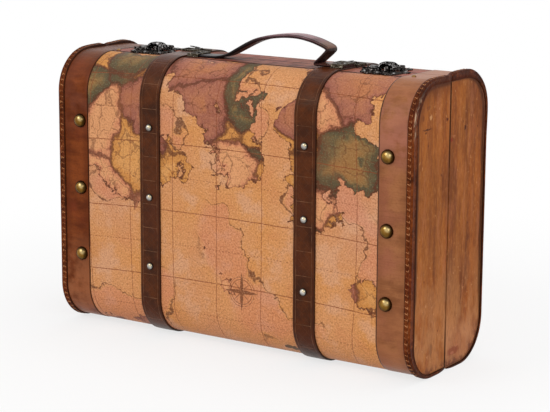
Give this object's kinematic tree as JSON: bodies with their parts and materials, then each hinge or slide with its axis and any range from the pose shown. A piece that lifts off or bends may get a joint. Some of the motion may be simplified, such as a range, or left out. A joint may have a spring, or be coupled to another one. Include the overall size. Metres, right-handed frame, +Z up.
{
  "type": "wooden suitcase",
  "caption": "Upright wooden suitcase in two hinged halves with rounded long edges, leather straps, end strips, studs, latches and a strap handle.",
  "frame": {"origin": "centre of the case on the floor, under the seam between the two halves", "axes": "+X along the case to the right seen from the front, -Y towards the front half's face, +Z up to the handle"},
  "size_m": [0.441, 0.157, 0.3296],
  "materials": {
    "plywood": "bent plywood, bare edges",
    "stained_board": "orange-brown stain, upright grain, satin",
    "lining_cloth": "woven cotton",
    "printed_cover": null,
    "end_strip_leather": "smooth brown leather",
    "binding_leather": "stitched edge binding, dark brown",
    "top_strip_leather": "brown leather with a dark edge line",
    "strap_leather": "embossed dark brown leather",
    "aged_brass": "domed, darkened by age",
    "nickel": "bright dome",
    "hinge_brass": "dull",
    "dark_steel": "darkened",
    "antique_bronze": "dark antique plating, rubbed bright on the edges"
  },
  "bodies": {
    "front_half": {"front_shell": "plywood", "front_end_board_left": "stained_board", "front_end_board_right": "stained_board", "front_lining": "lining_cloth", "front_cover": "printed_cover", "front_end_wrap_left": "end_strip_leather", "front_end_wrap_right": "end_strip_leather", "front_binding_left": "binding_leather", "front_binding_right": "binding_leather", "front_top_strip": "top_strip_leather", "front_strap_left": "strap_leather", "front_strap_right": "strap_leather", "front_studs": "aged_brass", "front_strap_rivets": "nickel", "front_hinge_leaf_left": "hinge_brass", "front_hinge_leaf_right": "hinge_brass", "front_hinge_screws": "dark_steel", "hinge_pins": "dark_steel", "lock_plate_left": "antique_bronze", "lock_plate_right": "antique_bronze", "lock_plate_pins": "dark_steel", "handle_tab_left": "strap_leather", "handle_tab_right": "strap_leather", "handle_bracket_left": "antique_bronze", "handle_bracket_right": "antique_bronze", "handle_bracket_pins": "dark_steel"},
    "back_half": {"back_shell": "plywood", "back_end_board_left": "stained_board", "back_end_board_right": "stained_board", "back_lining": "lining_cloth", "back_cover": "printed_cover", "back_end_wrap_left": "end_strip_leather", "back_end_wrap_right": "end_strip_leather", "back_binding_left": "binding_leather", "back_binding_right": "binding_leather", "back_top_strip": "top_strip_leather", "back_strap_left": "strap_leather", "back_strap_right": "strap_leather", "back_studs": "aged_brass", "back_strap_rivets": "nickel", "back_hinge_leaf_left": "hinge_brass", "back_hinge_leaf_right": "hinge_brass", "back_hinge_screws": "dark_steel", "hasp_plate_left": "antique_bronze", "hasp_plate_right": "antique_bronze", "hasp_plate_pins": "dark_steel", "hasp_pins": "dark_steel", "buckle_frame_left": "antique_bronze", "buckle_frame_right": "antique_bronze", "buckle_bars": "dark_steel"},
    "handle": {"handle_grip": "strap_leather"},
    "hasp_left": {"hasp_left": "antique_bronze"},
    "hasp_right": {"hasp_right": "antique_bronze"},
    "slide_left": {"slide_left": "antique_bronze"},
    "slide_right": {"slide_right": "antique_bronze"},
    "prong_left": {"prong_left": "dark_steel"},
    "prong_right": {"prong_right": "dark_steel"}
  },
  "joints": [
    {"name": "case_hinge", "type": "hinge", "parent": "front_half", "child": "back_half", "pos_m": [0, 0, 0.0021], "axis": [-1, 0, 0], "range_deg": [0, 110]},
    {"name": "handle_swing", "type": "hinge", "parent": "front_half", "child": "handle", "pos_m": [0.013, -0.014, 0.30475], "axis": [1, 0, 0], "range_deg": [-40, 40]},
    {"name": "hasp_left_hinge", "type": "hinge", "parent": "back_half", "child": "hasp_left", "pos_m": [-0.1385, 0.011, 0.30145], "axis": [-1, 0, 0], "range_deg": [0, 120]},
    {"name": "hasp_right_hinge", "type": "hinge", "parent": "back_half", "child": "hasp_right", "pos_m": [0.1505, 0.011, 0.30145], "axis": [-1, 0, 0], "range_deg": [0, 120]},
    {"name": "slide_left_travel", "type": "slide", "parent": "front_half", "child": "slide_left", "axis": [-1, 0, 0], "range_m": [0, 0.004], "stiffness_N_per_m": 150},
    {"name": "slide_right_travel", "type": "slide", "parent": "front_half", "child": "slide_right", "axis": [-1, 0, 0], "range_m": [0, 0.004], "stiffness_N_per_m": 150},
    {"name": "prong_left_hinge", "type": "hinge", "parent": "back_half", "child": "prong_left", "pos_m": [-0.0969, 0.0138, 0.3014], "axis": [-1, 0, 0], "range_deg": [-12, 88]},
    {"name": "prong_right_hinge", "type": "hinge", "parent": "back_half", "child": "prong_right", "pos_m": [0.0969, 0.0138, 0.3014], "axis": [-1, 0, 0], "range_deg": [0, 100]}
  ]
}
